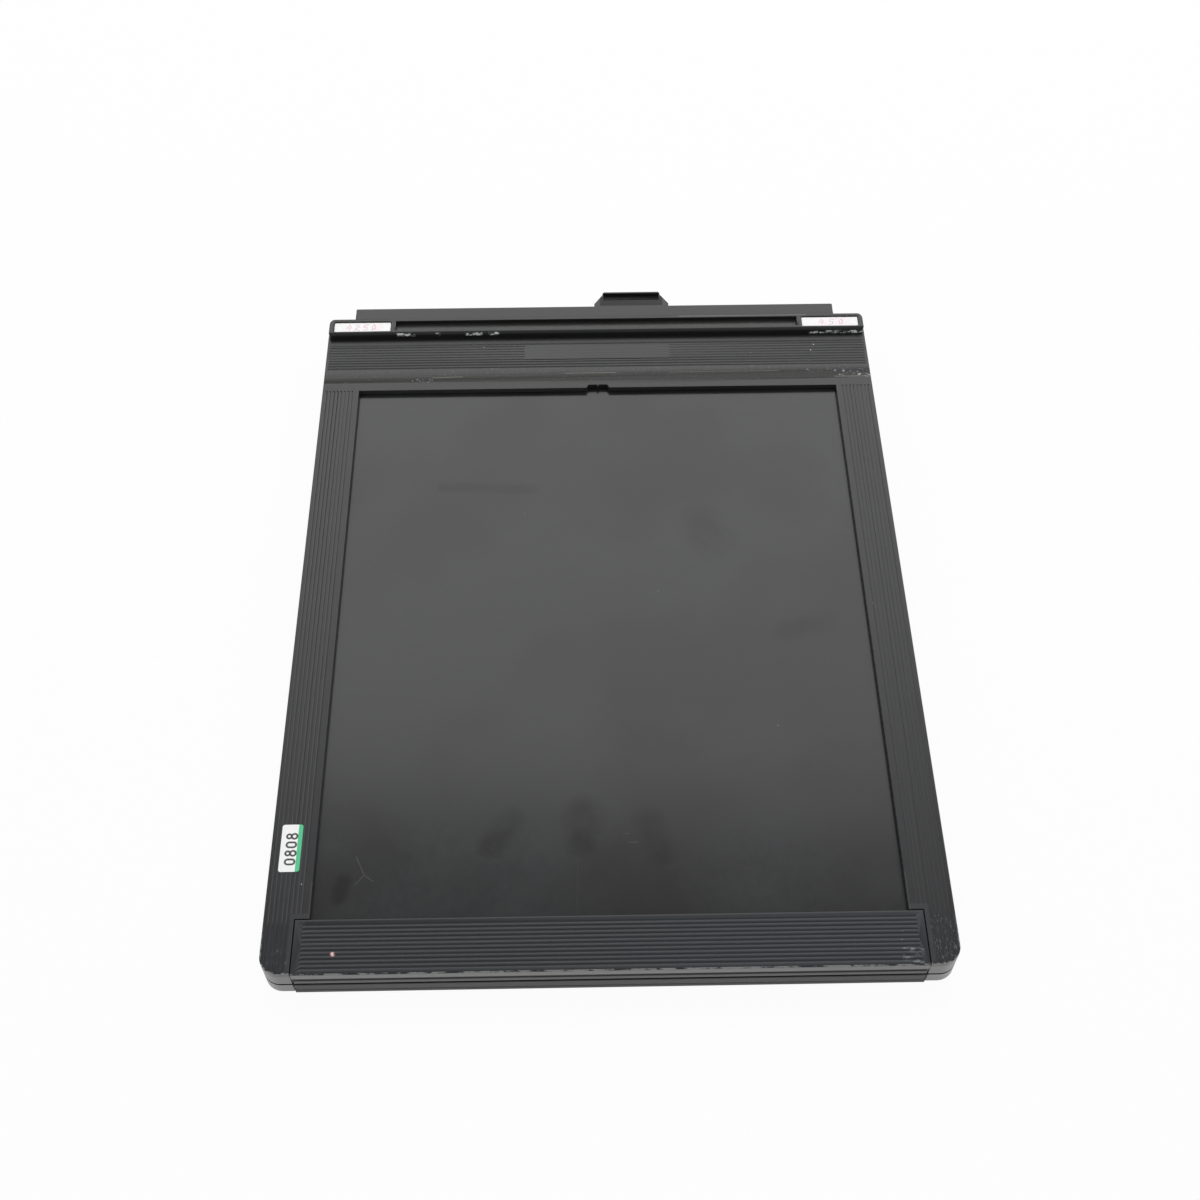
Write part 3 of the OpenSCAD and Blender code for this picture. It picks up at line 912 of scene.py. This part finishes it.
# ---------------------------------------------------------------- write-on labels
# White matte write-on film in the head bar's windows, smeared a faint pink, with
# plain numbers in red pencil on the front ones.
digit_strokes = {
    "0": (((0.60, 1.0), (0.12, 0.62), (0.20, 0.06), (0.72, 0.36), (0.60, 1.0)),),
    "2": (((0.10, 0.80), (0.50, 1.0), (0.85, 0.75), (0.0, 0.06), (0.90, 0.0)),),
    "4": (((0.55, 1.0), (0.0, 0.42), (0.90, 0.48)), ((0.75, 0.85), (0.50, 0.0))),
    "5": (((0.95, 1.0), (0.30, 0.95), (0.15, 0.56), (0.75, 0.50), (0.66, 0.10), (0.0, 0.0)),),
}


def pencilled(tree, place, digits, corner, wide, tall, pitch):
    """Digits in pencil strokes from their lower left corner, each wide by tall."""
    left, low, height = corner
    strokes = []
    for index, digit in enumerate(digits):
        start = left + index * pitch
        for stroke_points in digit_strokes[digit]:
            points = [(start + u * wide, low + v * tall, height) for u, v in stroke_points]
            strokes.append(drawn(tree, place, 0.17, *points))
    return most(tree, *strokes)


def label_material():
    """Matte white film with its pink smear and pencil."""
    material, tree, shader = new_material("write_on_white")
    place = own_coordinates(tree)
    top = (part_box("front_left_label")[1].z - mid_z) / mm
    uneven = noise(tree, place, 350, 3)
    colour = over(tree, uneven, (0.90, 0.90, 0.89, 1), (0.96, 0.96, 0.955, 1))
    smear = ramp(tree, noise(tree, place, 160), 0.52, 0.66, 0.0, 0.35)
    colour = laid(tree, colour, (0.90, 0.72, 0.78), smear)
    left_number = pencilled(tree, place, "4250", (-109.4, 297.3, top), 2.3, 3.3, 3.6)
    right_number = pencilled(tree, place, "450", (97.6, 297.3, top), 2.6, 3.2, 4.3)
    pencil = most(tree, left_number, times(tree, right_number, 0.8))
    pressed = ramp(tree, uneven, 0.35, 0.55, 0.55, 1.0)
    colour = laid(tree, colour, (0.74, 0.33, 0.45), times(tree, pencil, pressed))
    tree.links.new(colour, shader.inputs["Base Color"])
    shader.inputs["Roughness"].default_value = 0.55
    return material


write_on = label_material()
for side in ("front", "back"):
    for end in ("left", "right"):
        rounded_copy(
            f"{side}_{end}_label", f"{side}_{end}_write_on_strip", 0.08 * mm, write_on
        )


# ---------------------------------------------------------------- stock sticker
# A small white paper sticker on the left rail, with a green stripe down one
# edge and a plain printed number that reads along the rail.
def sticker_material():
    """Printed paper; every digit is one or two rings, so it needs no typeface."""
    material, tree, shader = new_material("printed_paper")
    place = own_coordinates(tree)
    axes = split(tree, place)
    top = (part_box("inventory_sticker")[1].z - mid_z) / mm
    fibre = noise(tree, place, 2500)
    colour = over(tree, fibre, (0.93, 0.93, 0.93, 1), (0.98, 0.98, 0.98, 1))
    stripe = within(tree, axes, 0.06, x=(-108.5, -106.0))
    colour = laid(tree, colour, (0.085, 0.57, 0.28), stripe)
    first_y = 41.8
    pitch = 3.3
    line = 0.34
    rings = []
    for index, digit in enumerate("0808"):
        y = first_y + pitch * index
        if digit == "0":
            ends = ((-111.3, y, top), (-109.9, y, top))
            rings.append(drawn(tree, place, line, *ends, radius=0.95))
        else:
            rings.append(drawn(tree, place, line, (-111.58, y, top), radius=0.80))
            rings.append(drawn(tree, place, line, (-109.75, y, top), radius=0.95))
    colour = laid(tree, colour, (0.008, 0.008, 0.008), most(tree, *rings))
    tree.links.new(colour, shader.inputs["Base Color"])
    shader.inputs["Roughness"].default_value = 0.6
    return material


dress("inventory_sticker", sticker_material())
